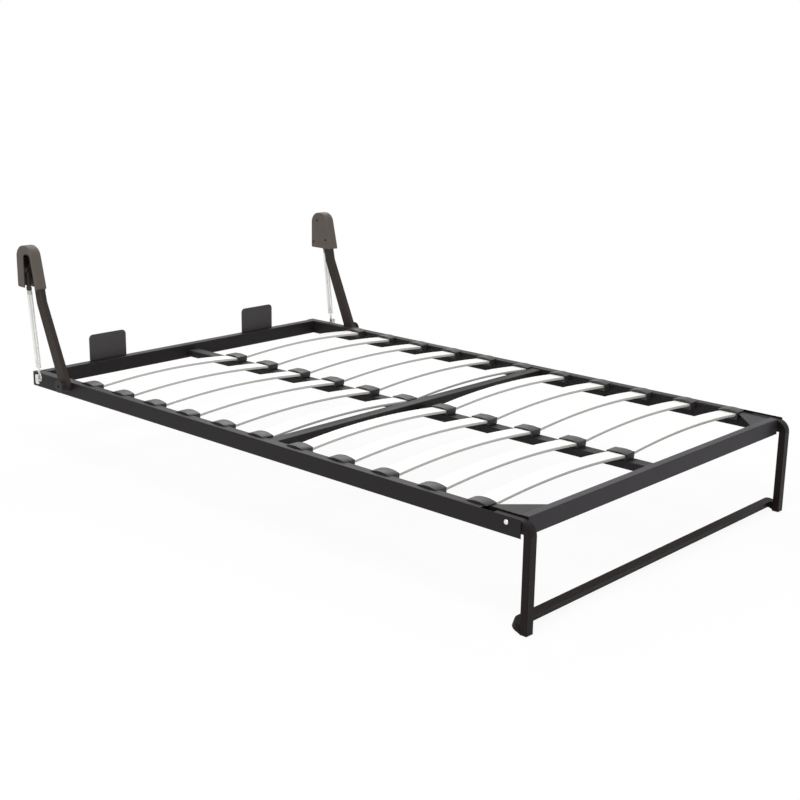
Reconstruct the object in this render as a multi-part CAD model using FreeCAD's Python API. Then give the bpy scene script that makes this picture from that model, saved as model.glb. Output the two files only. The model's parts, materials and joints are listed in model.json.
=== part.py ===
"""Fold down wall bed mechanism: slatted single bed frame with spring lift arms and a swing leg.

Millimetres. The bed lies open. X runs from the head end to the foot end, Y across the bed and Z up
from the floor. Left is -Y. Every piece is drawn on the right (+Y) and mirrored for the left.
"""
import FreeCAD, Part
import math
import os

V = FreeCAD.Vector

# Bed frame
BED_LENGTH = 1900.0
BED_WIDTH = 1200.0
STANDING_HEIGHT = 270.0
RAIL_HEIGHT = 45.0
SIDE_RAIL_WIDTH = 30.0
HEAD_RAIL_WIDTH = 30.0
FOOT_RAIL_WIDTH = 25.0
TUBE_WALL = 2.0
TUBE_CORNER = 3.0
MID_BEAM_ROW = 6
MID_BEAM_HOLDER_GAP = 1.0
MID_BEAM_WIDTH = 36.0
MID_BEAM_DROP = 3.0
MID_BEAM_HEIGHT = 38.0
CENTER_BEAM_WIDTH = 40.0
CENTER_BEAM_DROP = 18.0
CENTER_BEAM_HEIGHT = 22.0
END_PLUG_FLANGE = 3.0
END_PLUG_DEPTH = 15.0

# Slats and their holders
SLAT_ROWS = 11
SLAT_FIRST_X = 258.0
SLAT_LAST_INSET = 142.0
SLAT_WIDTH = 53.0
SLAT_THICKNESS = 8.0
SLAT_DROP = 5.0
SLAT_CAMBER = 15.0
SLAT_END_GAP = 2.0
SLAT_CENTER_GAP = 6.0
HOLDER_WIDTH = 62.0
HOLDER_CLEARANCE = 0.3
HOLDER_INBOARD = 25.0
HOLDER_ON_RAIL = 12.0
HOLDER_SHOULDER = 1.0
HOLDER_RISE = 6.0
HOLDER_SEAT_DROP = 20.0
CENTER_HOLDER_RISE = 2.5

# Corner gussets and mattress stops
GUSSET_LEG = 105.0
GUSSET_THICKNESS = 3.0
GUSSET_DROP = 2.0
GUSSET_HOLDER_GAP = 2.0
STOP_WIDTH = 140.0
STOP_RISE = 82.0
STOP_DEPTH = 36.0
STOP_THICKNESS = 4.0
STOP_OFFSET = 320.0
STOP_CORNER = 14.0

# Lift arm and its pivot on the cabinet
PIVOT_X = 183.0
PIVOT_DROP = 10.0
PIVOT_PIN_R = 8.0
PIVOT_BORE_R = 4.25
PIVOT_COLLAR_R = 14.0
PIVOT_FLANGE_R = 19.0
PIVOT_FLANGE = 4.0
PIVOT_END_GAP = 0.5
RUNNING_GAP = 0.05
BUSH_WALL = 3.0
BUSH_FLANGE = 1.0
BUSH_FLANGE_R = 14.0
ARM_THICKNESS = 16.0
ARM_FOOT_R = 19.0
ARM_KNEE_R = 16.0
ARM_TOP_R = 15.0
ARM_TOP_X = 56.0
ARM_TOP_RISE = 345.0
ARM_KNEE_AHEAD = 23.0
ARM_KNEE_DROP = 117.0
EAR_R = 12.0

# Plastic cap over the arm's top, measured from the arm's top
CAP_BACK = 66.0
CAP_SHOULDER = 8.0
CAP_TOE = 38.0
CAP_REACH = 77.0
CAP_HEIGHT = 128.0
CAP_TOP_CORNER = 36.0
CAP_FOOT_CORNER = 6.0
CAP_WALL = 3.0
CAP_EDGE = 2.5
CAP_SPRING_GAP = 1.0
WINDOW_HEEL = 36.0
WINDOW_TOE = 9.0
WINDOW_TOP = 24.0
WINDOW_CORNER = 15.0
CAP_SCREW_HEAD_R = 4.0
CAP_SCREW_HEAD = 1.5
CAP_SCREW_R = 2.0
CAP_BOSS_R = 3.6
BOSS_SCREW_LENGTH = 22.0
ARM_SCREW_LENGTH = 11.0
UPPER_SCREW_BACK = 36.0
UPPER_SCREW_RISE = 100.0
HEEL_SCREW_BACK = 54.0
HEEL_SCREW_RISE = 20.0
ARM_SCREW_RISE = 32.0

# Lift springs, two side by side on each arm
SPRING_TOP_BACK = 26.0
SPRING_TOP_DROP = 23.0
SPRING_ARM_GAP = 1.5
SPRING_R = 5.5
SPRING_WIRE = 2.0
LINK_GAP = 2.0
SPRING_SPREAD = 12.0
SPRING_START = 62.0
SPRING_TAIL = 46.0
SPRING_PIN_R = 5.0
SPRING_PIN_HEAD_R = 8.0
SPRING_PIN_HEAD = 1.5
YOKE_THICKNESS = 4.0
YOKE_HEIGHT = 10.0
YOKE_EYE_R = 9.0
PLUG_LENGTH = 12.0
PLUG_GAP = 0.05
HOOK_ROD_R = 2.5
HOOK_NUT_R = 5.0
HOOK_NUT_HEIGHT = 4.0
HOOK_NUT_GAP = 6.0
HOOK_EYE_R = 8.0
HOOK_EYE_HOLE_R = 4.0
HOOK_EYE_THICKNESS = 3.0
HOOK_NECK = 12.0
ANCHOR_X = 70.0
ANCHOR_DROP = 8.0
ANCHOR_WIDTH = 17.0
ANCHOR_HEIGHT = 29.0
ANCHOR_THICKNESS = 3.0
ANCHOR_HOLE_R = 3.3
ANCHOR_TOP_CORNER = 2.0
ANCHOR_FOOT_CORNER = 7.5
CABINET_GAP = 1.5
BED_FOLD_DEG = 90.0

# Swing leg, measured from the foot end of the frame
LEG_PIVOT_INSET = 40.0
LEG_PIVOT_DROP = 14.0
LEG_TAIL_LENGTH = 45.0
LEG_OVERHANG = 26.0
LEG_DEPTH = 20.0
LEG_WIDTH = 25.0
LEG_WALL = 1.5
LEG_EDGE = 1.2
LEG_BEND_R = 14.0
TOP_SLOT_LENGTH = 117.0
BOTTOM_SLOT_LENGTH = 62.0
LEG_STOP_LENGTH = 20.0
LEG_STOP_GAP = 0.3
LEG_FOLD_DEG = 84.0
GLIDE_THICKNESS = 3.0
GLIDE_PLUG = 12.0
BAR_SIZE = 20.0
BAR_REACH = 20.0
BAR_CORNER = 13.0
BAR_TILT_DEG = 20.0
BAR_FLOOR_GAP = 1.5
LEG_BOLT_R = 4.0
LEG_BOLT_HEAD_R = 6.0
LEG_BOLT_HEAD = 3.0
LEG_NUT_FLATS = 13.0
LEG_NUT_HEIGHT = 6.0
LEG_SLEEVE_WALL = 2.0

# Places worked out from the driving sizes: across the bed
HALF_WIDTH = BED_WIDTH / 2
INNER_Y = HALF_WIDTH - SIDE_RAIL_WIDTH
ARM_OUTER_Y = HALF_WIDTH + ARM_THICKNESS
CAP_INNER_Y = HALF_WIDTH - CAP_WALL
SPRING_Y = ARM_OUTER_Y + SPRING_ARM_GAP + SPRING_R
CAP_OUTER_Y = SPRING_Y + SPRING_R + CAP_SPRING_GAP + CAP_WALL
CABINET_Y = CAP_OUTER_Y + CABINET_GAP
LEG_SIDE_GAP = (SIDE_RAIL_WIDTH - 2 * TUBE_WALL - LEG_WIDTH) / 2
LEG_OUTER_Y = HALF_WIDTH - TUBE_WALL - LEG_SIDE_GAP
LEG_INNER_Y = LEG_OUTER_Y - LEG_WIDTH
SLAT_END_Y = INNER_Y - SLAT_END_GAP

# Heights and places along the bed
RAIL_TOP = STANDING_HEIGHT
RAIL_BOTTOM = RAIL_TOP - RAIL_HEIGHT
SLAT_PITCH = (BED_LENGTH - SLAT_LAST_INSET - SLAT_FIRST_X) / (SLAT_ROWS - 1)
LAST_SLAT_X = BED_LENGTH - SLAT_LAST_INSET
HOLDER_EDGE = HOLDER_WIDTH / 2
MID_BEAM_HEAD_X = SLAT_FIRST_X + (MID_BEAM_ROW - 1) * SLAT_PITCH + HOLDER_EDGE + MID_BEAM_HOLDER_GAP
MID_BEAM_FOOT_X = MID_BEAM_HEAD_X + MID_BEAM_WIDTH
PIVOT = (PIVOT_X, RAIL_TOP - PIVOT_DROP)
ARM_TOP = (ARM_TOP_X, RAIL_TOP + ARM_TOP_RISE)
ARM_KNEE = (ARM_TOP_X + ARM_KNEE_AHEAD, ARM_TOP[1] - ARM_KNEE_DROP)
SPRING_TOP = (ARM_TOP_X - SPRING_TOP_BACK, ARM_TOP[1] - SPRING_TOP_DROP)
ANCHOR = (ANCHOR_X, RAIL_TOP - ANCHOR_DROP)
SPRING_LENGTH = math.hypot(ANCHOR[0] - SPRING_TOP[0], ANCHOR[1] - SPRING_TOP[1])
SPRING_LEAN = math.atan2(ANCHOR[0] - SPRING_TOP[0], SPRING_TOP[1] - ANCHOR[1])
SPRING_END = SPRING_LENGTH - SPRING_TAIL
CAP_BASE = ARM_TOP[1] - CAP_REACH
CAP_SLOPE = (CAP_TOE - CAP_SHOULDER) / CAP_HEIGHT
LEG_PIVOT = (BED_LENGTH - LEG_PIVOT_INSET, RAIL_TOP - LEG_PIVOT_DROP)
LEG_TAIL_X = LEG_PIVOT[0] - LEG_TAIL_LENGTH
LEG_FRONT_X = BED_LENGTH + LEG_OVERHANG
LEG_BACK_X = LEG_FRONT_X - LEG_DEPTH
LEG_TOP = LEG_PIVOT[1] + LEG_DEPTH / 2
LEG_UNDER = LEG_PIVOT[1] - LEG_DEPTH / 2
LEG_HOLE_R = LEG_BOLT_R + RUNNING_GAP + LEG_SLEEVE_WALL
TOP_SLOT_X = BED_LENGTH - TOP_SLOT_LENGTH
BOTTOM_SLOT_X = BED_LENGTH - BOTTOM_SLOT_LENGTH


def place_xz(a, b, y):
    return V(a, y, b)


def place_yz(a, b, x):
    return V(x, a, b)


def outline(corners, place, level):
    """Closed wire through (a, b, radius) corners, each rounded by an arc of its radius."""
    count = len(corners)
    joints = []
    for i, (a, b, radius) in enumerate(corners):
        before = corners[i - 1]
        after = corners[(i + 1) % count]
        corner = V(a, b, 0)
        back = (V(before[0], before[1], 0) - corner).normalize()
        ahead = (V(after[0], after[1], 0) - corner).normalize()
        half = back.getAngle(ahead) / 2
        reach = radius / math.tan(half)
        middle = corner + (back + ahead).normalize() * (radius / math.sin(half) - radius)
        joints.append((corner + back * reach, middle, corner + ahead * reach, radius))
    edges = []
    for i, (start, middle, end, radius) in enumerate(joints):
        if radius > 0:
            points = [place(p.x, p.y, level) for p in (start, middle, end)]
            edges.append(Part.Arc(*points).toShape())
        following = joints[(i + 1) % count][0]
        if (following - end).Length > 1e-6:
            edges.append(Part.makeLine(place(end.x, end.y, level), place(following.x, following.y, level)))
    return Part.Wire(edges)


def prism_xz(corners, y0, y1):
    return Part.Face(outline(corners, place_xz, y0)).extrude(V(0, y1 - y0, 0))


def prism_yz(corners, x0, x1):
    return Part.Face(outline(corners, place_yz, x0)).extrude(V(x1 - x0, 0, 0))


def block(x0, x1, y0, y1, z0, z1):
    return Part.makeBox(x1 - x0, y1 - y0, z1 - z0, V(x0, y0, z0))


def rod_y(spot, radius, y0, y1):
    return Part.makeCylinder(radius, abs(y1 - y0), V(spot[0], min(y0, y1), spot[1]), V(0, 1, 0))


def mirrored(shape):
    return shape.mirror(V(0, 0, 0), V(0, 1, 0))


def rounded_box_corners(a0, a1, b0, b1, radius):
    return [(a0, b0, radius), (a0, b1, radius), (a1, b1, radius), (a1, b0, radius)]


def tube_x(x0, x1, y0, y1, z0, z1):
    """Square tube along X with rounded corners."""
    outer = prism_yz(rounded_box_corners(y0, y1, z0, z1, TUBE_CORNER), x0, x1)
    wall = TUBE_WALL
    inner = prism_yz(rounded_box_corners(y0 + wall, y1 - wall, z0 + wall, z1 - wall, TUBE_CORNER - wall), x0, x1)
    return outer.cut(inner)


def tube_y(x0, x1, y0, y1, z0, z1):
    """Square tube along Y with rounded corners."""
    outer = prism_xz(rounded_box_corners(x0, x1, z0, z1, TUBE_CORNER), y0, y1)
    wall = TUBE_WALL
    inner = prism_xz(rounded_box_corners(x0 + wall, x1 - wall, z0 + wall, z1 - wall, TUBE_CORNER - wall), y0, y1)
    return outer.cut(inner)


def strap(first, first_r, second, second_r, y0, y1):
    """Flat bar along Y between two round ends of different radius, with tangent sides."""
    heading = math.atan2(second[1] - first[1], second[0] - first[0])
    length = math.hypot(second[0] - first[0], second[1] - first[1])
    spread = math.acos((first_r - second_r) / length)

    def spot(center, radius, angle):
        return V(center[0] + radius * math.cos(angle), y0, center[1] + radius * math.sin(angle))

    first_a = spot(first, first_r, heading + spread)
    first_b = spot(first, first_r, heading - spread)
    second_a = spot(second, second_r, heading + spread)
    second_b = spot(second, second_r, heading - spread)
    edges = [Part.Arc(first_a, spot(first, first_r, heading + math.pi), first_b).toShape(),
             Part.makeLine(first_b, second_b),
             Part.Arc(second_b, spot(second, second_r, heading), second_a).toShape(),
             Part.makeLine(second_a, first_a)]
    return Part.Face(Part.Wire(edges)).extrude(V(0, y1 - y0, 0))


def soften(shape, y, size):
    """Break the outline edges that lie in the plane of the given Y."""
    edges = [e for e in shape.Edges if abs(e.BoundBox.YMin - y) < 1e-6 and abs(e.BoundBox.YMax - y) < 1e-6]
    return shape.makeChamfer(size, edges)


# Bed frame pieces

def side_rail():
    """Square tube, open above and below at the foot end where the leg swings through it."""
    rail = tube_x(0, BED_LENGTH, INNER_Y, HALF_WIDTH, RAIL_BOTTOM, RAIL_TOP)
    y0 = INNER_Y + TUBE_WALL
    y1 = HALF_WIDTH - TUBE_WALL
    depth = max(TUBE_WALL, TUBE_CORNER)
    rail = rail.cut(block(TOP_SLOT_X, BED_LENGTH, y0, y1, RAIL_TOP - depth, RAIL_TOP))
    rail = rail.cut(block(BOTTOM_SLOT_X, BED_LENGTH, y0, y1, RAIL_BOTTOM, RAIL_BOTTOM + depth))
    return rail.cut(rod_y(LEG_PIVOT, LEG_BOLT_R, INNER_Y, HALF_WIDTH))


def head_rail():
    return tube_y(0, HEAD_RAIL_WIDTH, -INNER_Y, INNER_Y, RAIL_BOTTOM, RAIL_TOP)


def foot_rail():
    return tube_y(BED_LENGTH - FOOT_RAIL_WIDTH, BED_LENGTH, -INNER_Y, INNER_Y, RAIL_BOTTOM, RAIL_TOP)


def mid_beam():
    top = RAIL_TOP - MID_BEAM_DROP
    return tube_y(MID_BEAM_HEAD_X, MID_BEAM_FOOT_X, -INNER_Y, INNER_Y, top - MID_BEAM_HEIGHT, top)


def center_beam(x0, x1):
    top = RAIL_TOP - CENTER_BEAM_DROP
    half = CENTER_BEAM_WIDTH / 2
    return tube_x(x0, x1, -half, half, top - CENTER_BEAM_HEIGHT, top)


def rail_end_plug():
    flange = prism_yz(rounded_box_corners(INNER_Y, HALF_WIDTH, RAIL_BOTTOM, RAIL_TOP, TUBE_CORNER),
                      -END_PLUG_FLANGE, 0)
    wall = TUBE_WALL
    insert = prism_yz(rounded_box_corners(INNER_Y + wall, HALF_WIDTH - wall, RAIL_BOTTOM + wall,
                                          RAIL_TOP - wall, TUBE_CORNER - wall), 0, END_PLUG_DEPTH)
    return flange.fuse(insert).removeSplitter()


def corner_gusset():
    """Plate across a foot corner, its tip cut short of the last slat holder."""
    top = RAIL_TOP - GUSSET_DROP
    corner_x = BED_LENGTH - FOOT_RAIL_WIDTH
    tip_x = max(LAST_SLAT_X + HOLDER_EDGE + GUSSET_HOLDER_GAP, corner_x - GUSSET_LEG)
    tip_y = INNER_Y - GUSSET_LEG + (corner_x - tip_x)
    points = [(corner_x, INNER_Y), (tip_x, INNER_Y), (tip_x, tip_y), (corner_x, INNER_Y - GUSSET_LEG)]
    points.append(points[0])
    wire = Part.makePolygon([V(x, y, top - GUSSET_THICKNESS) for x, y in points])
    return Part.Face(wire).extrude(V(0, 0, GUSSET_THICKNESS))


def mattress_stop():
    """Upright plate on the head rail's outer face, its two top corners rounded."""
    half = STOP_WIDTH / 2
    bottom = RAIL_TOP - STOP_DEPTH
    top = RAIL_TOP + STOP_RISE
    corners = [(STOP_OFFSET - half, bottom, 0), (STOP_OFFSET - half, top, STOP_CORNER),
               (STOP_OFFSET + half, top, STOP_CORNER), (STOP_OFFSET + half, bottom, 0)]
    return prism_yz(corners, -STOP_THICKNESS, 0)


# Slats and holders

def slat(x, grow=0.0):
    """One half-width slat, bent upwards in the middle; grow gives the clearance pocket round it."""
    y0 = SLAT_CENTER_GAP - grow
    y1 = SLAT_END_Y + grow
    middle = (y0 + y1) / 2
    top = RAIL_TOP - SLAT_DROP + grow
    bottom = RAIL_TOP - SLAT_DROP - SLAT_THICKNESS - grow
    x0 = x - SLAT_WIDTH / 2 - grow
    edges = [Part.Arc(V(x0, y0, top), V(x0, middle, top + SLAT_CAMBER), V(x0, y1, top)).toShape(),
             Part.makeLine(V(x0, y1, top), V(x0, y1, bottom)),
             Part.Arc(V(x0, y1, bottom), V(x0, middle, bottom + SLAT_CAMBER), V(x0, y0, bottom)).toShape(),
             Part.makeLine(V(x0, y0, bottom), V(x0, y0, top))]
    return Part.Face(Part.Wire(edges)).extrude(V(SLAT_WIDTH + 2 * grow, 0, 0))


def dome(x, bottom, shoulder, crown, y0, y1):
    """Low arched block across the slat, used for every holder."""
    half = HOLDER_EDGE
    edges = [Part.makeLine(V(x - half, y0, shoulder), V(x - half, y0, bottom)),
             Part.makeLine(V(x - half, y0, bottom), V(x + half, y0, bottom)),
             Part.makeLine(V(x + half, y0, bottom), V(x + half, y0, shoulder)),
             Part.Arc(V(x + half, y0, shoulder), V(x, y0, crown), V(x - half, y0, shoulder)).toShape()]
    return Part.Face(Part.Wire(edges)).extrude(V(0, y1 - y0, 0))


def side_holder(x):
    """Holder that hooks over the rail's inner top edge, with a pocket for the slat's end."""
    inboard = dome(x, RAIL_TOP - HOLDER_SEAT_DROP, RAIL_TOP + HOLDER_SHOULDER, RAIL_TOP + HOLDER_RISE,
                   INNER_Y - HOLDER_INBOARD, INNER_Y)
    lip = dome(x, RAIL_TOP, RAIL_TOP + HOLDER_SHOULDER, RAIL_TOP + HOLDER_RISE, INNER_Y,
               INNER_Y + HOLDER_ON_RAIL)
    return inboard.fuse(lip).removeSplitter().cut(slat(x, HOLDER_CLEARANCE))


def center_holder(x):
    """Double holder on the center beam, open to the slats of both sides."""
    half = CENTER_BEAM_WIDTH / 2
    body = dome(x, RAIL_TOP - CENTER_BEAM_DROP, RAIL_TOP - HOLDER_SHOULDER,
                RAIL_TOP + CENTER_HOLDER_RISE, -half, half)
    pocket = slat(x, HOLDER_CLEARANCE)
    return body.cut(pocket).cut(mirrored(pocket))


# Lift arm, cap and pivot

def arm_screw_spot():
    """Place on the upper bar's middle line for the cap's fixing screw."""
    height = CAP_BASE + ARM_SCREW_RISE
    share = (ARM_TOP[1] - height) / ARM_KNEE_DROP
    return (ARM_TOP[0] + share * ARM_KNEE_AHEAD, height)


def boss_screw_spots():
    return [(ARM_TOP[0] - UPPER_SCREW_BACK, CAP_BASE + UPPER_SCREW_RISE),
            (ARM_TOP[0] - HEEL_SCREW_BACK, CAP_BASE + HEEL_SCREW_RISE)]


def lift_arm():
    """Flat bar with a knee, an eye for the pivot and an ear that holds the spring pin."""
    lower = strap(PIVOT, ARM_FOOT_R, ARM_KNEE, ARM_KNEE_R, HALF_WIDTH, ARM_OUTER_Y)
    upper = strap(ARM_KNEE, ARM_KNEE_R, ARM_TOP, ARM_TOP_R, HALF_WIDTH, ARM_OUTER_Y)
    ear = strap(ARM_TOP, ARM_TOP_R, SPRING_TOP, EAR_R, HALF_WIDTH, ARM_OUTER_Y)
    arm = lower.fuse([upper, ear]).removeSplitter()
    arm = arm.cut(rod_y(PIVOT, PIVOT_PIN_R + BUSH_WALL, HALF_WIDTH, ARM_OUTER_Y))
    arm = arm.cut(rod_y(arm_screw_spot(), CAP_SCREW_R, HALF_WIDTH, CAP_INNER_Y + ARM_SCREW_LENGTH))
    return arm.cut(rod_y(SPRING_TOP, SPRING_PIN_R, HALF_WIDTH, ARM_OUTER_Y))


def pivot_bush():
    flange = ARM_OUTER_Y + BUSH_FLANGE
    body = rod_y(PIVOT, PIVOT_PIN_R + BUSH_WALL, HALF_WIDTH, ARM_OUTER_Y)
    body = body.fuse(rod_y(PIVOT, BUSH_FLANGE_R, ARM_OUTER_Y, flange))
    return body.cut(rod_y(PIVOT, PIVOT_PIN_R + RUNNING_GAP, HALF_WIDTH, flange)).removeSplitter()


def pivot_plate():
    """Round flange on the cabinet side with a collar and the stub pin of the arm, bored for one bolt."""
    flange_y = CABINET_Y - PIVOT_FLANGE
    collar_y = ARM_OUTER_Y + BUSH_FLANGE + PIVOT_END_GAP
    pin_tip = HALF_WIDTH + PIVOT_END_GAP
    stub = rod_y(PIVOT, PIVOT_FLANGE_R, flange_y, CABINET_Y)
    collar = rod_y(PIVOT, PIVOT_COLLAR_R, collar_y, flange_y)
    stub = stub.fuse([collar, rod_y(PIVOT, PIVOT_PIN_R, pin_tip, collar_y)])
    return stub.cut(rod_y(PIVOT, PIVOT_BORE_R, pin_tip, CABINET_Y)).removeSplitter()


def cap_corners(skin, below):
    """Cap outline moved inwards by a skin; its foot edge lies some way below the cap's base."""
    side = skin * math.hypot(1, CAP_SLOPE)
    heel = ARM_TOP[0] - CAP_BACK + skin
    crown = CAP_BASE + CAP_HEIGHT - skin
    shoulder = ARM_TOP[0] + CAP_SHOULDER - side + skin * CAP_SLOPE
    toe = ARM_TOP[0] + CAP_TOE - side + below * CAP_SLOPE
    foot = CAP_BASE - below
    round_top = CAP_TOP_CORNER - skin
    round_foot = CAP_FOOT_CORNER if below == 0 else 0
    return [(heel, foot, round_foot), (heel, crown, round_top), (shoulder, crown, round_top),
            (toe, foot, round_foot)]


def window_corners():
    """Arch in the cap's outer face, open below, beside the slanted side."""
    below = CAP_WALL
    heel = ARM_TOP[0] - CAP_BACK + WINDOW_HEEL
    crown = CAP_HEIGHT - WINDOW_TOP
    toe = ARM_TOP[0] + CAP_TOE - WINDOW_TOE
    return [(heel, CAP_BASE - below, 0), (heel, CAP_BASE + crown, WINDOW_CORNER),
            (toe - crown * CAP_SLOPE, CAP_BASE + crown, WINDOW_CORNER),
            (toe + below * CAP_SLOPE, CAP_BASE - below, 0)]


def arm_cap():
    """Plastic cover over the arm's top: closed inner face, rim, and an arched window outside."""
    shell = prism_xz(cap_corners(0, 0), CAP_INNER_Y, CAP_OUTER_Y)
    shell = soften(soften(shell, CAP_OUTER_Y, CAP_EDGE), CAP_INNER_Y, CAP_EDGE)
    inner_y0 = HALF_WIDTH
    inner_y1 = CAP_OUTER_Y - CAP_WALL
    shell = shell.cut(prism_xz(cap_corners(CAP_WALL, CAP_WALL), inner_y0, inner_y1))
    shell = shell.cut(prism_xz(window_corners(), inner_y1, CAP_OUTER_Y))
    for spot in boss_screw_spots():
        shell = shell.fuse(rod_y(spot, CAP_BOSS_R, inner_y0, inner_y1))
        shell = shell.cut(rod_y(spot, CAP_SCREW_R, CAP_INNER_Y, CAP_INNER_Y + BOSS_SCREW_LENGTH))
    shell = shell.cut(rod_y(arm_screw_spot(), CAP_SCREW_R, CAP_INNER_Y, inner_y0))
    return shell.removeSplitter()


def cap_screw(spot, length):
    head = rod_y(spot, CAP_SCREW_HEAD_R, CAP_INNER_Y - CAP_SCREW_HEAD, CAP_INNER_Y)
    return head.fuse(rod_y(spot, CAP_SCREW_R, CAP_INNER_Y, CAP_INNER_Y + length)).removeSplitter()


# Lift springs, drawn hanging straight down from the spring pin and then turned to the anchor

def lean(shape):
    turned = shape.copy()
    turned.rotate(V(SPRING_TOP[0], 0, SPRING_TOP[1]), V(0, -1, 0), math.degrees(SPRING_LEAN))
    return turned


def along(distance):
    """Height of a place on the straight hanging spring, measured down from the pin."""
    return SPRING_TOP[1] - distance


def rod_z(x, radius, near, far):
    return Part.makeCylinder(radius, far - near, V(x, SPRING_Y, along(far)), V(0, 0, 1))


def spring_columns():
    return [SPRING_TOP[0] + step * SPRING_SPREAD / 2 for step in (-1, 1)]


def springs():
    coils = []
    for x in spring_columns():
        coil = rod_z(x, SPRING_R, SPRING_START, SPRING_END)
        coils.append(lean(coil.cut(rod_z(x, SPRING_R - SPRING_WIRE, SPRING_START, SPRING_END))))
    return coils


def spring_pin():
    tip = SPRING_Y + SPRING_R
    pin = rod_y(SPRING_TOP, SPRING_PIN_R, HALF_WIDTH, tip)
    head = rod_y(SPRING_TOP, SPRING_PIN_HEAD_R, tip - SPRING_PIN_HEAD, tip)
    return pin.fuse(head).removeSplitter()


def yoke_bar(near):
    half = SPRING_SPREAD / 2 + SPRING_R
    y = YOKE_THICKNESS / 2
    x = SPRING_TOP[0]
    return block(x - half, x + half, SPRING_Y - y, SPRING_Y + y, along(near + YOKE_HEIGHT), along(near))


def coil_plug(x, near, far):
    return rod_z(x, SPRING_R - SPRING_WIRE - PLUG_GAP, near, far)


def spring_yoke():
    """Top link: an eye on the spring pin, a cross bar and a plug into each coil."""
    y = YOKE_THICKNESS / 2
    y0 = SPRING_Y - y
    y1 = SPRING_Y + y
    bar_near = SPRING_START - YOKE_HEIGHT - LINK_GAP
    stem = block(SPRING_TOP[0] - YOKE_EYE_R, SPRING_TOP[0] + YOKE_EYE_R, y0, y1, along(bar_near), SPRING_TOP[1])
    link = rod_y(SPRING_TOP, YOKE_EYE_R, y0, y1).fuse([stem, yoke_bar(bar_near)])
    for x in spring_columns():
        link = link.fuse(coil_plug(x, bar_near + YOKE_HEIGHT, SPRING_START + PLUG_LENGTH))
    link = link.cut(rod_y(SPRING_TOP, SPRING_PIN_R + RUNNING_GAP, y0, y1))
    return lean(link.removeSplitter())


def spring_hook():
    """Bottom link: plugs, a cross bar, a threaded rod with its nut and a flat eye at the anchor."""
    bar_near = SPRING_END + LINK_GAP
    rod_near = bar_near + YOKE_HEIGHT
    x = SPRING_TOP[0]
    link = yoke_bar(bar_near)
    for column in spring_columns():
        link = link.fuse(coil_plug(column, SPRING_END - PLUG_LENGTH, bar_near))
    link = link.fuse(rod_z(x, HOOK_ROD_R, rod_near, SPRING_LENGTH - HOOK_EYE_HOLE_R - HOOK_EYE_THICKNESS))
    nut_near = rod_near + HOOK_NUT_GAP
    link = link.fuse(rod_z(x, HOOK_NUT_R, nut_near, nut_near + HOOK_NUT_HEIGHT))
    y0 = SPRING_Y - HOOK_EYE_THICKNESS / 2
    y1 = SPRING_Y + HOOK_EYE_THICKNESS / 2
    center = (x, along(SPRING_LENGTH))
    neck = (x, along(SPRING_LENGTH - HOOK_NECK))
    eye = strap(center, HOOK_EYE_R, neck, HOOK_NUT_R, y0, y1)
    eye = eye.cut(rod_y(center, HOOK_EYE_HOLE_R, y0, y1))
    return lean(link.fuse(eye).removeSplitter())


def spring_anchor():
    """Small plate on the cabinet side, round towards the floor, that the hook's eye is screwed to."""
    half = ANCHOR_WIDTH / 2
    y0 = CABINET_Y - ANCHOR_THICKNESS
    top = ANCHOR[1] + ANCHOR_HEIGHT / 2
    foot = top - ANCHOR_HEIGHT
    corners = [(ANCHOR[0] - half, top, ANCHOR_TOP_CORNER), (ANCHOR[0] + half, top, ANCHOR_TOP_CORNER),
               (ANCHOR[0] + half, foot, ANCHOR_FOOT_CORNER), (ANCHOR[0] - half, foot, ANCHOR_FOOT_CORNER)]
    return prism_xz(corners, y0, CABINET_Y).cut(rod_y(ANCHOR, ANCHOR_HOLE_R, y0, CABINET_Y))


# Swing leg

def leg_corners(skin):
    """Side outline of the leg tube, moved inwards by a skin on its long faces."""
    foot = GLIDE_THICKNESS - skin
    tail = LEG_TAIL_X - skin
    outer_r = LEG_BEND_R + LEG_DEPTH
    return [(tail, LEG_TOP - skin, 0), (LEG_FRONT_X - skin, LEG_TOP - skin, outer_r - skin),
            (LEG_FRONT_X - skin, foot, 0), (LEG_BACK_X + skin, foot, 0),
            (LEG_BACK_X + skin, LEG_UNDER + skin, LEG_BEND_R + skin), (tail, LEG_UNDER + skin, 0)]


def leg_tube():
    outer = prism_xz(leg_corners(0), LEG_INNER_Y, LEG_OUTER_Y)
    outer = soften(soften(outer, LEG_OUTER_Y, LEG_EDGE), LEG_INNER_Y, LEG_EDGE)
    tube = outer.cut(prism_xz(leg_corners(LEG_WALL), LEG_INNER_Y + LEG_WALL, LEG_OUTER_Y - LEG_WALL))
    return tube.cut(rod_y(LEG_PIVOT, LEG_HOLE_R, LEG_INNER_Y, LEG_OUTER_Y))


def leg_sleeve():
    """Sleeve through both walls of the leg tube, welded in, that turns on the bolt."""
    sleeve = rod_y(LEG_PIVOT, LEG_HOLE_R, LEG_INNER_Y, LEG_OUTER_Y)
    return sleeve.cut(rod_y(LEG_PIVOT, LEG_BOLT_R + RUNNING_GAP, LEG_INNER_Y, LEG_OUTER_Y))


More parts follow.
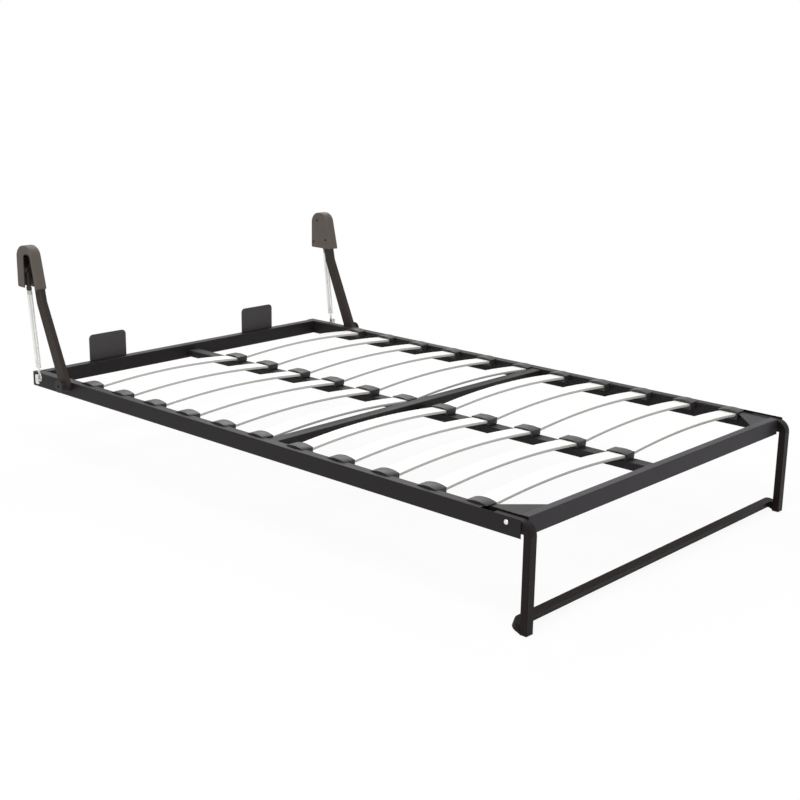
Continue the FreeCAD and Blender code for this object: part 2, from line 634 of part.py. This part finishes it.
def leg_bolt():
    """Bolt through rail and leg, with a domed head outside and a nut inside the frame."""
    head_y = HALF_WIDTH + LEG_BOLT_HEAD
    shank = rod_y(LEG_PIVOT, LEG_BOLT_R, INNER_Y - LEG_NUT_HEIGHT, HALF_WIDTH)
    head = rod_y(LEG_PIVOT, LEG_BOLT_HEAD_R, HALF_WIDTH, head_y)
    head = soften(head, head_y, LEG_BOLT_HEAD / 2)
    sixth = math.pi / 3
    nut_r = LEG_NUT_FLATS / 2 / math.cos(sixth / 2)
    points = [V(LEG_PIVOT[0] + nut_r * math.cos(i * sixth), INNER_Y - LEG_NUT_HEIGHT,
                LEG_PIVOT[1] + nut_r * math.sin(i * sixth)) for i in range(7)]
    nut = Part.Face(Part.makePolygon(points)).extrude(V(0, LEG_NUT_HEIGHT, 0))
    return shank.fuse([head, nut]).removeSplitter()


def leg_stop():
    """Block inside the rail that the leg's tail rests on when the leg stands open."""
    y0 = INNER_Y + TUBE_WALL
    y1 = HALF_WIDTH - TUBE_WALL
    z0 = RAIL_BOTTOM + TUBE_WALL
    z1 = LEG_UNDER - LEG_STOP_GAP
    radius = TUBE_CORNER - TUBE_WALL
    corners = [(y0, z0, radius), (y0, z1, 0), (y1, z1, 0), (y1, z0, radius)]
    return prism_yz(corners, BOTTOM_SLOT_X - LEG_STOP_LENGTH, BOTTOM_SLOT_X)


def foot_glide():
    y0 = LEG_INNER_Y
    y1 = LEG_OUTER_Y
    base = block(LEG_BACK_X, LEG_FRONT_X, y0, y1, 0, GLIDE_THICKNESS)
    wall = LEG_WALL
    plug = block(LEG_BACK_X + wall, LEG_FRONT_X - wall, y0 + wall, y1 - wall, GLIDE_THICKNESS,
                 GLIDE_THICKNESS + GLIDE_PLUG)
    return base.fuse(plug).removeSplitter()


def bar_outline(reach, outer_y, inner_reach, inner_y, outer_r, inner_r, open_at):
    """U-shaped face in a flat frame: first axis along the stubs, second across the bed."""
    corners = [(open_at, -outer_y, 0), (reach, -outer_y, outer_r), (reach, outer_y, outer_r),
               (open_at, outer_y, 0), (open_at, inner_y, 0), (inner_reach, inner_y, inner_r),
               (inner_reach, -inner_y, inner_r), (open_at, -inner_y, 0)]
    return Part.Face(outline(corners, lambda a, b, level: V(-a, b, level), 0))


def leg_crossbar():
    """One bent tube: the cross bar and its two turned ends, which rise from the legs' feet."""
    tilt = math.radians(BAR_TILT_DEG)
    run = BAR_REACH / math.cos(tilt)
    half = BAR_SIZE / 2
    foot_z = half / math.cos(tilt) + BAR_FLOOR_GAP
    outer_r = BAR_CORNER + half
    inner_r = BAR_CORNER - half
    open_at = -BAR_SIZE
    outer_y = LEG_OUTER_Y
    solid = bar_outline(run + half, outer_y, run - half, outer_y - BAR_SIZE, outer_r, inner_r, open_at)
    solid = solid.extrude(V(0, 0, BAR_SIZE))
    wall = LEG_WALL
    bore = bar_outline(run + half - wall, outer_y - wall, run - half + wall, outer_y - BAR_SIZE + wall,
                       outer_r - wall, inner_r + wall, open_at)
    bore = bore.extrude(V(0, 0, BAR_SIZE - 2 * wall))
    bore.translate(V(0, 0, wall))
    bar = solid.cut(bore)
    bar.translate(V(0, 0, -half))
    bar.rotate(V(0, 0, 0), V(0, 1, 0), BAR_TILT_DEG)
    bar.translate(V(LEG_BACK_X, 0, foot_z))
    beyond = block(LEG_BACK_X, LEG_FRONT_X + BAR_SIZE, -BED_WIDTH, BED_WIDTH, -BAR_SIZE, RAIL_BOTTOM)
    return bar.cut(beyond)


def pair(shape):
    return [mirrored(shape), shape]


def slat_positions():
    return [SLAT_FIRST_X + i * SLAT_PITCH for i in range(SLAT_ROWS)]


def nodes():
    """Every node's name with its list of solids."""
    result = {}

    def add_pair(name, shape):
        result[name + "_left"] = [mirrored(shape)]
        result[name + "_right"] = [shape]

    add_pair("side_rail", side_rail())
    result["head_rail"] = [head_rail()]
    result["foot_rail"] = [foot_rail()]
    result["mid_beam"] = [mid_beam()]
    result["center_beam_head"] = [center_beam(HEAD_RAIL_WIDTH, MID_BEAM_HEAD_X)]
    result["center_beam_foot"] = [center_beam(MID_BEAM_FOOT_X, BED_LENGTH - FOOT_RAIL_WIDTH)]
    result["rail_end_plugs"] = pair(rail_end_plug())
    result["corner_gussets"] = pair(corner_gusset())
    add_pair("mattress_stop", mattress_stop())

    positions = slat_positions()
    for i, x in enumerate(positions):
        board = slat(x)
        result["slat_left_%02d" % (i + 1)] = [mirrored(board)]
        result["slat_right_%02d" % (i + 1)] = [board]
    holders = [side_holder(x) for x in positions]
    result["slat_holders_left"] = [mirrored(h) for h in holders]
    result["slat_holders_right"] = holders
    result["slat_holders_center"] = [center_holder(x) for x in positions]

    add_pair("lift_arm", lift_arm())
    result["pivot_bushes"] = pair(pivot_bush())
    add_pair("pivot_plate", pivot_plate())
    add_pair("arm_cap", arm_cap())
    screws = pair(cap_screw(arm_screw_spot(), ARM_SCREW_LENGTH))
    for spot in boss_screw_spots():
        screws += pair(cap_screw(spot, BOSS_SCREW_LENGTH))
    result["cap_screws"] = screws
    result["spring_pins"] = pair(spring_pin())
    coils = springs()
    result["springs_left"] = [mirrored(c) for c in coils]
    result["springs_right"] = coils
    add_pair("spring_yoke", spring_yoke())
    add_pair("spring_hook", spring_hook())
    add_pair("spring_anchor", spring_anchor())

    add_pair("leg_tube", leg_tube())
    result["leg_crossbar"] = [leg_crossbar()]
    result["leg_sleeves"] = pair(leg_sleeve())
    result["leg_bolts"] = pair(leg_bolt())
    result["leg_stops"] = pair(leg_stop())
    result["foot_glides"] = pair(foot_glide())
    return result


def origin_x(parts):
    """Middle of the whole object along X."""
    boxes = [solid.BoundBox for solids in parts.values() for solid in solids]
    return (min(b.XMin for b in boxes) + max(b.XMax for b in boxes)) / 2


def main():
    os.makedirs("parts", exist_ok=True)
    parts = nodes()
    shift = V(-origin_x(parts), 0, 0)
    for name, solids in parts.items():
        shape = solids[0] if len(solids) == 1 else Part.makeCompound(solids)
        shape.translate(shift)
        shape.exportStep("parts/" + name + ".step")
    print("origin x", -shift.x, "spring length", SPRING_LENGTH, "nodes", len(parts))


main()
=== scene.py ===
import json
import math

import bpy
from mathutils import Matrix, Vector


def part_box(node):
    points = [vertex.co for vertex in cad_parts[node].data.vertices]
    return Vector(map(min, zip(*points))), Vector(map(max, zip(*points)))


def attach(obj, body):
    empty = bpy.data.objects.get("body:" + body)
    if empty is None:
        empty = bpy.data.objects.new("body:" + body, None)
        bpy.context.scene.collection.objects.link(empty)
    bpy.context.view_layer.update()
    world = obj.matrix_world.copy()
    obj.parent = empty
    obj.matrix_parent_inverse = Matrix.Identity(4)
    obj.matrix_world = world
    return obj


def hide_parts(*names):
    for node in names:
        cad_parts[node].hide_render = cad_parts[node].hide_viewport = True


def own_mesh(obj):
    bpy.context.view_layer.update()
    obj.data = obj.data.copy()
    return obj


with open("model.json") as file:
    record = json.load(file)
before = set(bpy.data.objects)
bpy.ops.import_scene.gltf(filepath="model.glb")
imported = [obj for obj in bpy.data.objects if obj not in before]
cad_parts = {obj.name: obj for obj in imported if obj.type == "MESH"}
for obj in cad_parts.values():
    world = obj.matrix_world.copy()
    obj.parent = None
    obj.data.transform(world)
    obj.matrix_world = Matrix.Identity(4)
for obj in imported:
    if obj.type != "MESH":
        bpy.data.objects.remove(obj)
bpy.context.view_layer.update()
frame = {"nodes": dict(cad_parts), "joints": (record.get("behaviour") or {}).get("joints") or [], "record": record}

MM = 0.001
SIDES = {"left": -1, "right": 1}

SLOTS = {entry["node"]: entry["material_slot"] for entry in frame["record"]["subparts"]}
JOINTS = {joint["name"]: joint for joint in frame["joints"]}
MOUNTS = {mount["name"]: mount for mount in frame["record"]["mounts"]}


def node_corners(node):
    """Low and high corner of a CAD node with the bed down."""
    return [Vector(corner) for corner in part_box(node)]


# Shader arithmetic

class Field:
    """A shader socket that Python's operators work on; each operation adds one Math node."""

    def __init__(self, nodes, socket):
        self.nodes = nodes
        self.socket = socket

    def math(self, operation, *operands):
        sockets = dict(enumerate(operands))
        return self.nodes.add("ShaderNodeMath", {"operation": operation}, sockets)

    def __add__(self, other):
        return self.math("ADD", self, other)

    def __mul__(self, other):
        return self.math("MULTIPLY", self, other)

    __radd__ = __add__
    __rmul__ = __mul__


class Nodes:
    """A node tree in which one method makes every kind of node."""

    def __init__(self, tree):
        self.tree = tree

    def feed(self, node, socket, value):
        target = node.inputs[socket]
        if isinstance(value, Field):
            self.tree.links.new(value.socket, target)
        elif isinstance(value, tuple) and len(value) < len(target.default_value):
            target.default_value = (*value, 1.0)
        else:
            target.default_value = value

    def add(self, kind, settings=None, sockets=None, output=0):
        """Any node: its settings first, then the values or links of its sockets."""
        node = self.tree.nodes.new(kind)
        for name, value in (settings or {}).items():
            setattr(node, name, value)
        for socket, value in (sockets or {}).items():
            self.feed(node, socket, value)
        return Field(self, node.outputs[output])

    def band(self, value, low, high, start=0.0, end=1.0):
        """Maps low..high of a value to start..end, held at both ends."""
        sockets = {"Value": value, "From Min": low, "From Max": high,
                   "To Min": start, "To Max": end}
        return self.add("ShaderNodeMapRange", {}, sockets)


# Sockets of the Mix node when it mixes colours
COLOUR_A, COLOUR_B, COLOUR_RESULT = 6, 7, 2


class Finish(Nodes):
    """One procedural material for a Principled surface."""

    def __init__(self, name, **surface):
        self.material = bpy.data.materials.new(name)
        self.material.use_nodes = True
        super().__init__(self.material.node_tree)
        self.surface = self.tree.nodes["Principled BSDF"]
        self.set(**surface)

    def set(self, **surface):
        for socket, value in surface.items():
            self.feed(self.surface, socket.replace("_", " "), value)

    def place(self, output="Object"):
        return self.add("ShaderNodeTexCoord", output=output)

    def stretched(self, scale):
        return self.add("ShaderNodeMapping", {}, {"Vector": self.place(), "Scale": scale})

    def noise(self, scale, detail=2.0, roughness=0.5, where=None):
        sockets = {"Vector": where or self.place(), "Scale": scale,
                   "Detail": detail, "Roughness": roughness}
        return self.add("ShaderNodeTexNoise", {}, sockets)

    def blend(self, factor, first, second):
        sockets = {"Factor": factor, COLOUR_A: first, COLOUR_B: second}
        return self.add("ShaderNodeMix", {"data_type": "RGBA"}, sockets, COLOUR_RESULT)

    def bump(self, height, strength, distance):
        sockets = {"Height": height, "Strength": strength, "Distance": distance}
        self.set(Normal=self.add("ShaderNodeBump", {}, sockets))


# Finishes. Noise scales are in cycles per metre.

SKIN_DEPTH = 0.2 * MM
FOIL_DEPTH = 0.3 * MM
RUBBED_GAIN = 2.2
RUBBED_LIFT = 0.01
GRAIN_ALONG = 0.05
PLY_LINES = 5
FOIL_TONES = (0.90, 0.895, 0.875), (0.84, 0.835, 0.81)
# Tones of a slat's edge: the ply lines, with both tones painted darker than the foil as painted shade
PLY_AND_PAINTED_SHADE_TONES = (0.56, 0.55, 0.53), (0.36, 0.34, 0.31)
RUBBER_TONES = (0.016, 0.016, 0.016), (0.035, 0.034, 0.032)


def powder_coat(name, dark, light, rough, gloss):
    """Baked powder: slow clouds of tone, a fine pebbled skin and paler rubbed streaks."""
    coat = Finish(name, Specular_IOR_Level=gloss)
    clouds = coat.noise(scale=6.0, detail=3.0)
    scuffs = coat.noise(scale=34.0, detail=5.0, roughness=0.7, where=coat.stretched((0.25, 1.0, 1.0)))
    worn = coat.band(scuffs, low=0.66, high=0.74) * 0.35
    rubbed = tuple(channel * RUBBED_GAIN + RUBBED_LIFT for channel in light)
    coat.set(Base_Color=coat.blend(worn, coat.blend(clouds, dark, light), rubbed))
    coat.set(Roughness=coat.band(clouds, 0.3, 0.7, rough, rough + 0.1) + worn * 0.3)
    pebble = coat.noise(scale=1400.0) + coat.noise(scale=380.0, detail=1.0) * 0.6
    coat.bump(pebble, 0.22, SKIN_DEPTH)
    return coat.material


def moulded_plastic(name, dark, light, rough):
    """Spark eroded plastic: an even grain with slow changes of tone."""
    plastic = Finish(name, Specular_IOR_Level=0.4)
    clouds = plastic.noise(scale=16.0, detail=3.0)
    plastic.set(Base_Color=plastic.blend(clouds, dark, light))
    plastic.set(Roughness=plastic.band(clouds, 0.3, 0.7, rough, rough + 0.08))
    plastic.bump(plastic.noise(scale=1800.0), 0.25, SKIN_DEPTH)
    return plastic.material


def white_foil():
    """White foil on a slat, with a faint grain pressed along it."""
    foil = Finish("white_foil", Specular_IOR_Level=0.4)
    grain = foil.noise(60.0, 4.0, 0.6, foil.stretched((1.0, GRAIN_ALONG, 1.0)))
    pores = foil.noise(420.0, 2.0, 0.5, foil.stretched((1.0, 0.04, 1.0)))
    foil.set(Base_Color=foil.blend(foil.band(grain, 0.35, 0.7), *FOIL_TONES))
    foil.set(Roughness=foil.band(grain, 0.3, 0.7, 0.42, 0.55))
    foil.bump(grain * 0.6 + pores * 0.4, 0.15, FOIL_DEPTH)
    return foil.material


def slat_edge():
    """Long edge of a slat: its glued layers show as thin lines under the foil, and the whole edge is painted
    darker than the foil as painted shade.
    """
    edge = Finish("slat_edge", Specular_IOR_Level=0.3, Roughness=0.6)
    through = edge.add("ShaderNodeSeparateXYZ", {}, {0: edge.place("UV")}, "Y")
    turns = through * (PLY_LINES * 2 * math.pi)
    lines = turns.math("SINE", turns)
    streak = edge.noise(90.0, 3.0, 0.6, edge.stretched((1.0, GRAIN_ALONG, 3.0)))
    tone = edge.band(lines, low=0.6, high=1.0) * 0.35 + streak * 0.35
    # Both edge tones are darker than the foil: ply lines plus painted shade on the slat's edges
    edge.set(Base_Color=edge.blend(tone, *PLY_AND_PAINTED_SHADE_TONES))
    edge.bump(lines, 0.1, FOIL_DEPTH)
    return edge.material


def zinc(name, dark, light, rough):
    """Bright zinc plate with slight stains."""
    metal = Finish(name, Metallic=1.0)
    stain = metal.noise(scale=45.0, detail=4.0, roughness=0.65)
    metal.set(Base_Color=metal.blend(stain, dark, light))
    metal.set(Roughness=metal.band(stain, 0.3, 0.7, rough, rough + 0.15))
    metal.bump(metal.noise(scale=900.0), 0.08, SKIN_DEPTH)
    return metal.material


def black_rubber():
    rubber = Finish("black_rubber", Specular_IOR_Level=0.25, Roughness=0.75)
    dust = rubber.noise(scale=60.0, detail=4.0)
    rubber.set(Base_Color=rubber.blend(dust, *RUBBER_TONES))
    rubber.bump(rubber.noise(scale=1500.0), 0.3, SKIN_DEPTH)
    return rubber.material


# Dark tone, light tone, roughness and specular level
POWDER_COATS = {
    "powder_coat": ((0.0095, 0.0080, 0.0085), (0.0150, 0.0125, 0.0135), 0.38, 0.16),
    "end_coat": ((0.020, 0.017, 0.021), (0.027, 0.023, 0.028), 0.38, 0.18),
    "leg_coat": ((0.0075, 0.0045, 0.0040), (0.0120, 0.0075, 0.0068), 0.38, 0.12),
    "arm_coat": ((0.0270, 0.0205, 0.0170), (0.0360, 0.0280, 0.0240), 0.45, 0.16),
    "stop_coat": ((0.050, 0.047, 0.049), (0.062, 0.058, 0.061), 0.50, 0.20),
    "dark_steel": ((0.020, 0.017, 0.016), (0.030, 0.026, 0.024), 0.40, 0.20),
}
# Dark tone, light tone and roughness
PLASTICS = {
    "cap_plastic": ((0.070, 0.057, 0.048), (0.098, 0.082, 0.070), 0.50),
    "holder_plastic": ((0.020, 0.019, 0.019), (0.030, 0.028, 0.027), 0.42),
    "nylon": ((0.045, 0.043, 0.042), (0.060, 0.058, 0.056), 0.45),
}
FINISHES = {name: powder_coat(name, *look) for name, look in POWDER_COATS.items()}
FINISHES.update((name, moulded_plastic(name, *look)) for name, look in PLASTICS.items())
FINISHES["slat_white"] = white_foil()
FINISHES["slat_edge"] = slat_edge()
FINISHES["zinc_steel"] = zinc("zinc_steel", (0.72, 0.72, 0.70), (0.84, 0.84, 0.81), 0.32)
FINISHES["rubber"] = black_rubber()


# Mesh building

def piece(name, vertices, faces, body, slot, kinds=None, finishes=None, stands_for=()):
    """One mesh object that rides on a body; kinds says which of its finishes each face has."""
    mesh = bpy.data.meshes.new(name)
    mesh.from_pydata([tuple(v) for v in vertices], [], faces)
    for finish in finishes or [slot]:
        mesh.materials.append(FINISHES[finish])
    if kinds:
        mesh.polygons.foreach_set("material_index", kinds)
    mesh.validate()
    thing = bpy.data.objects.new(name, mesh)
    bpy.context.collection.objects.link(thing)
    mesh.shade_smooth()
    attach(thing, body)
    if stands_for:
        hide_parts(*stands_for)
    return thing


def ring_faces(rings, size):
    """Quads between successive rings of the same size, and a face on each end."""
    faces = []
    for low in range(0, (rings - 1) * size, size):
        high = low + size
        for j in range(size):
            k = (j + 1) % size
            faces.append((low + j, low + k, high + k, high + j))
    faces.append(tuple(reversed(range(size))))
    faces.append(tuple(range((rings - 1) * size, rings * size)))
    return faces


def wire_vertices(points, radius, sides):
    """Rings of a round wire along points, turned with as little twist as they can."""
    vertices = []
    last = len(points) - 1
    across = (points[1] - points[0]).orthogonal()
    for i, point in enumerate(points):
        ahead = (points[min(i + 1, last)] - points[max(i - 1, 0)]).normalized()
        across = (across - ahead * across.dot(ahead)).normalized()
        up = ahead.cross(across)
        for j in range(sides):
            angle = 2 * math.pi * j / sides
            vertices.append(point + (across * math.cos(angle) + up * math.sin(angle)) * radius)
    return vertices


# Slats

SLAT_ROWS = 11
SLAT_THICKNESS = 8 * MM
SLAT_CORNER = 2.6 * MM
SLAT_CORNER_STEPS = 3
SLAT_STATIONS = 28
SLAT_END_ROUND = 5 * MM
FACE_FOIL, FACE_EDGE = 0, 1


class SlatArc:
    """The shallow arc that a slat follows between its CAD corners."""

    def __init__(self, node):
        self.low, self.high = node_corners(node)
        self.middle = (self.low + self.high) / 2
        self.width = self.high.x - self.low.x
        self.length = self.high.y - self.low.y
        self.camber = self.high.z - self.low.z - SLAT_THICKNESS
        self.radius = (self.length ** 2 / 4 + self.camber ** 2) / (2 * self.camber)

    def rise(self, y):
        """Height of the underside at y above the underside at the ends."""
        drop = self.radius - math.sqrt(self.radius ** 2 - (y - self.middle.y) ** 2)
        return self.camber - drop

    def narrowing(self, y):
        """How far the long edges come in at y, near a rounded end."""
        from_end = max(min(y - self.low.y, self.high.y - y), 0.0)
        if from_end >= SLAT_END_ROUND:
            return 0.0
        return SLAT_END_ROUND - math.sqrt(SLAT_END_ROUND ** 2 - (SLAT_END_ROUND - from_end) ** 2)


def rounded_section(width, height, radius, steps):
    """Closed outline of a rounded bar, counter-clockwise."""
    outline = []
    for corner, (sx, sz) in enumerate(((1, 1), (-1, 1), (-1, -1), (1, -1))):
        for step in range(steps + 1):
            angle = math.pi / 2 * (corner + step / steps)
            outline.append((sx * (width / 2 - radius) + radius * math.cos(angle),
                            sz * (height / 2 - radius) + radius * math.sin(angle)))
    return outline


def slat_vertices(arc, outline):
    """Rings of the section along the arc, closer together towards the ends."""
    vertices = []
    for i in range(SLAT_STATIONS + 1):
        y = arc.middle.y - math.cos(math.pi * i / SLAT_STATIONS) * arc.length / 2
        narrow = 1 - arc.narrowing(y) / (arc.width / 2)
        level = arc.low.z + SLAT_THICKNESS / 2 + arc.rise(y)
        vertices += [Vector((arc.middle.x + a * narrow, y, level + b)) for a, b in outline]
    return vertices


def face_kind(face, arc, outline):
    """Edge finish on the long sides and both ends, foil on the rest."""
    if len(face) > 4:
        return FACE_EDGE
    reach = arc.width / 2 - SLAT_CORNER
    on_side = all(abs(outline[v % len(outline)][0]) > reach for v in face)
    return FACE_EDGE if on_side else FACE_FOIL


def map_layers(board, arc):
    """UV whose second axis runs through the slat's thickness."""
    layer = board.data.uv_layers.new(name="layers")
    for loop in board.data.loops:
        spot = board.data.vertices[loop.vertex_index].co
        depth = (spot.z - arc.low.z - arc.rise(spot.y)) / SLAT_THICKNESS
        layer.data[loop.index].uv = (spot.y, depth)


def make_slats():
    for side in SIDES:
        for row in range(1, SLAT_ROWS + 1):
            place = "%s_%02d" % (side, row)
            arc = SlatArc("slat_" + place)
            outline = rounded_section(arc.width, SLAT_THICKNESS, SLAT_CORNER, SLAT_CORNER_STEPS)
            faces = ring_faces(SLAT_STATIONS + 1, len(outline))
            kinds = [face_kind(face, arc, outline) for face in faces]
            board = piece("board_" + place, slat_vertices(arc, outline), faces, "bed_frame",
                          "slat_white", kinds, ["slat_white", "slat_edge"], ["slat_" + place])
            map_layers(board, arc)


# Springs

COIL_TURNS = 74
COIL_STEPS = 16
WIRE_R = 0.9 * MM
WIRE_SIDES = 8
COIL_R = 4.55 * MM
COIL_SPREAD = 12 * MM
COIL_START = 62 * MM
COIL_TAIL = 46 * MM


class SpringLine:
    """The line from the pin in the arm's top to the anchor on the cabinet's side."""

    def __init__(self, side):
        self.top = Vector(JOINTS["spring_swing_" + side]["pos_m"])
        anchor = Vector(MOUNTS["spring_anchor_%s_hole" % side]["pos_m"])
        self.down = -Vector(JOINTS["spring_draw_" + side]["axis"]).normalized()
        self.outward = Vector((0, SIDES[side], 0))
        self.across = self.outward.cross(self.down).normalized()
        self.length = (Vector((anchor.x, self.top.y, anchor.z)) - self.top).length

    def at(self, along, across=0.0, outward=0.0):
        return self.top + self.down * along + self.across * across + self.outward * outward


def coil_points(line, middle):
    """Close turns from under the yoke to the hook, about an axis beside the spring's line."""
    near = COIL_START + WIRE_R
    far = line.length - COIL_TAIL - WIRE_R
    count = COIL_TURNS * COIL_STEPS
    points = []
    for i in range(count + 1):
        angle = 2 * math.pi * i / COIL_STEPS
        across = middle + COIL_R * math.cos(angle)
        points.append(line.at(near + (far - near) * i / count, across, COIL_R * math.sin(angle)))
    return points


def make_springs():
    """Two coils on each arm; they shorten as the frame turns up."""
    for side in SIDES:
        line = SpringLine(side)
        start = line.at(COIL_START)
        for number, step in enumerate((-1, 1), 1):
            points = coil_points(line, step * COIL_SPREAD / 2)
            coil = piece("coil_%s_%d" % (side, number), wire_vertices(points, WIRE_R, WIRE_SIDES),
                         ring_faces(len(points), WIRE_SIDES), "spring_" + side, "zinc_steel",
                         stands_for=["springs_" + side] if number == 1 else [])
            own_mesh(coil)


# CAD nodes that keep their own shape

OWN_FINISHES = {
    "lift_arm_left": "arm_coat",
    "lift_arm_right": "arm_coat",
    "foot_rail": "end_coat",
    "leg_tube_left": "leg_coat",
    "leg_tube_right": "leg_coat",
    "leg_crossbar": "leg_coat",
}
# Width of the rounded edges, by the start of the node's name
EDGE_WIDTHS = {
    "slat_holders_center": 3.0 * MM,
    "slat_holders_left": 2.0 * MM,
    "slat_holders_right": 2.0 * MM,
    "lift_arm": 1.2 * MM,
    "arm_cap": 0.8 * MM,
    "pivot_plate": 0.5 * MM,
    "corner_gussets": 0.6 * MM,
    "mattress_stop": 0.8 * MM,
    "rail_end_plugs": 0.8 * MM,
    "leg_": 0.5 * MM,
    "foot_glides": 0.8 * MM,
    "spring_anchor": 0.4 * MM,
    "spring_hook": 0.3 * MM,
    "spring_yoke": 0.3 * MM,
    "side_rail": 0.4 * MM,
}
EDGE_ANGLE = math.radians(35)
EDGE_SEGMENTS = 3
WELD_GAP = 0.01 * MM


def break_edges(thing, width):
    """Welds the node's faces and rounds its sharp edges in the picture alone."""
    weld = thing.modifiers.new("weld", "WELD")
    weld.merge_threshold = WELD_GAP
    bevel = thing.modifiers.new("edges", "BEVEL")
    bevel.width = width
    bevel.segments = EDGE_SEGMENTS
    bevel.limit_method = "ANGLE"
    bevel.angle_limit = EDGE_ANGLE
    bevel.use_clamp_overlap = True
    bevel.harden_normals = True


def dress_nodes():
    for name, thing in frame["nodes"].items():
        finish = FINISHES[OWN_FINISHES.get(name, SLOTS[name])]
        for holder in thing.material_slots:
            holder.link = "OBJECT"
            holder.material = finish
        for start, width in EDGE_WIDTHS.items():
            if name.startswith(start):
                break_edges(thing, width)


# Room, light and camera

FLOOR_REACH = 30.0
FLOOR_TONE = (0.86, 0.86, 0.86)
SHADOW_REACH = 1.0
SHADOW_END = 2.6
SHADOW_CLEAR = 0.9
WHITE = (1.0, 1.0, 1.0)
FILL_LIGHT = 0.62
LAMP_SIZE = 3.0
LAMP_TARGET = Vector((0, 0, 0.2))
# Place and power in watts
LAMPS = {"key": (Vector((1.5, -2.5, 4.5)), 130), "back": (Vector((-3.0, 2.5, 4.0)), 90)}


def make_floor():
    """Pale floor: near white to the camera with the part's shadow, plain white further out."""
    mesh = bpy.data.meshes.new("floor")
    corners = [(sx * FLOOR_REACH, sy * FLOOR_REACH, 0)
               for sx, sy in ((-1, -1), (1, -1), (1, 1), (-1, 1))]
    mesh.from_pydata(corners, [], [(0, 1, 2, 3)])
    floor = bpy.data.objects.new("floor", mesh)
    bpy.context.collection.objects.link(floor)
    ground = Finish("floor_white", Base_Color=FLOOR_TONE, Roughness=0.9)
    distance = ground.add("ShaderNodeVectorMath", {"operation": "LENGTH"}, {0: ground.place()}, 1)
    clear = ground.band(distance, SHADOW_REACH, SHADOW_END, SHADOW_CLEAR, 1.0)
    seen = ground.add("ShaderNodeLightPath", output="Is Camera Ray") * clear
    lit = Field(ground, ground.surface.outputs[0])
    white = ground.add("ShaderNodeEmission", {}, {"Color": WHITE, "Strength": 1.0})
    mixed = ground.add("ShaderNodeMixShader", {}, {0: seen, 1: lit, 2: white})
    ground.feed(ground.tree.nodes["Material Output"], "Surface", mixed)
    mesh.materials.append(ground.material)


def make_world():
    """Even studio: pure white to the camera and in reflections, a softer fill on the part."""
    world = bpy.data.worlds.new("studio")
    bpy.context.scene.world = world
    world.use_nodes = True
    studio = Nodes(world.node_tree)
    studio.tree.nodes.clear()
    seen = studio.add("ShaderNodeLightPath", output="Is Camera Ray")
    for way in ("Is Glossy Ray", "Is Transmission Ray"):
        seen = seen.math("MAXIMUM", seen, studio.add("ShaderNodeLightPath", output=way))
    fill, white = (studio.add("ShaderNodeBackground", {}, {"Color": WHITE, "Strength": strength})
                   for strength in (FILL_LIGHT, 1.0))
    mixed = studio.add("ShaderNodeMixShader", {}, {0: seen, 1: fill, 2: white})
    studio.feed(studio.tree.nodes.new("ShaderNodeOutputWorld"), "Surface", mixed)


def make_lamps():
    for name, (place, power) in LAMPS.items():
        data = bpy.data.lights.new(name, "AREA")
        data.shape = "DISK"
        data.size = LAMP_SIZE
        data.energy = power
        lamp = bpy.data.objects.new(name, data)
        lamp.location = place
        lamp.rotation_euler = (LAMP_TARGET - place).to_track_quat("-Z", "Y").to_euler()
        bpy.context.collection.objects.link(lamp)


# The camera's place is given from the head end, the middle and the top of the side rails
RAIL_LOW, RAIL_HIGH = node_corners("side_rail_right")
CAMERA_PLACE = Vector((RAIL_LOW.x, 0, RAIL_HIGH.z)) + Vector((3.587, -2.847, 1.011))
CAMERA_YAW = math.radians(132.38)
CAMERA_PITCH = math.radians(-14.89)
CAMERA_ROLL = math.radians(0.94)
FRAME_PIXELS = 800
FOCAL_PIXELS = 1357.2
SENSOR_MM = 36.0


def camera_turn():
    """Rotation of the camera from its yaw, pitch and roll."""
    level_ahead = Vector((math.cos(CAMERA_YAW), math.sin(CAMERA_YAW), 0))
    ahead = level_ahead * math.cos(CAMERA_PITCH) + Vector((0, 0, math.sin(CAMERA_PITCH)))
    level = ahead.cross(Vector((0, 0, 1))).normalized()
    plumb = level.cross(ahead)
    right = level * math.cos(CAMERA_ROLL) + plumb * math.sin(CAMERA_ROLL)
    up = plumb * math.cos(CAMERA_ROLL) - level * math.sin(CAMERA_ROLL)
    return Matrix((right, up, -ahead)).transposed()


def make_camera():
    """The photograph's view."""
    data = bpy.data.cameras.new("view")
    data.sensor_fit = "HORIZONTAL"
    data.sensor_width = SENSOR_MM
    data.lens = FOCAL_PIXELS / FRAME_PIXELS * SENSOR_MM
    camera = bpy.data.objects.new("view", data)
    camera.matrix_world = Matrix.Translation(CAMERA_PLACE) @ camera_turn().to_4x4()
    bpy.context.collection.objects.link(camera)
    bpy.context.scene.camera = camera


make_camera()
make_floor()
make_world()
make_lamps()
dress_nodes()
make_slats()
make_springs()

bpy.context.scene.view_settings.view_transform = "Standard"
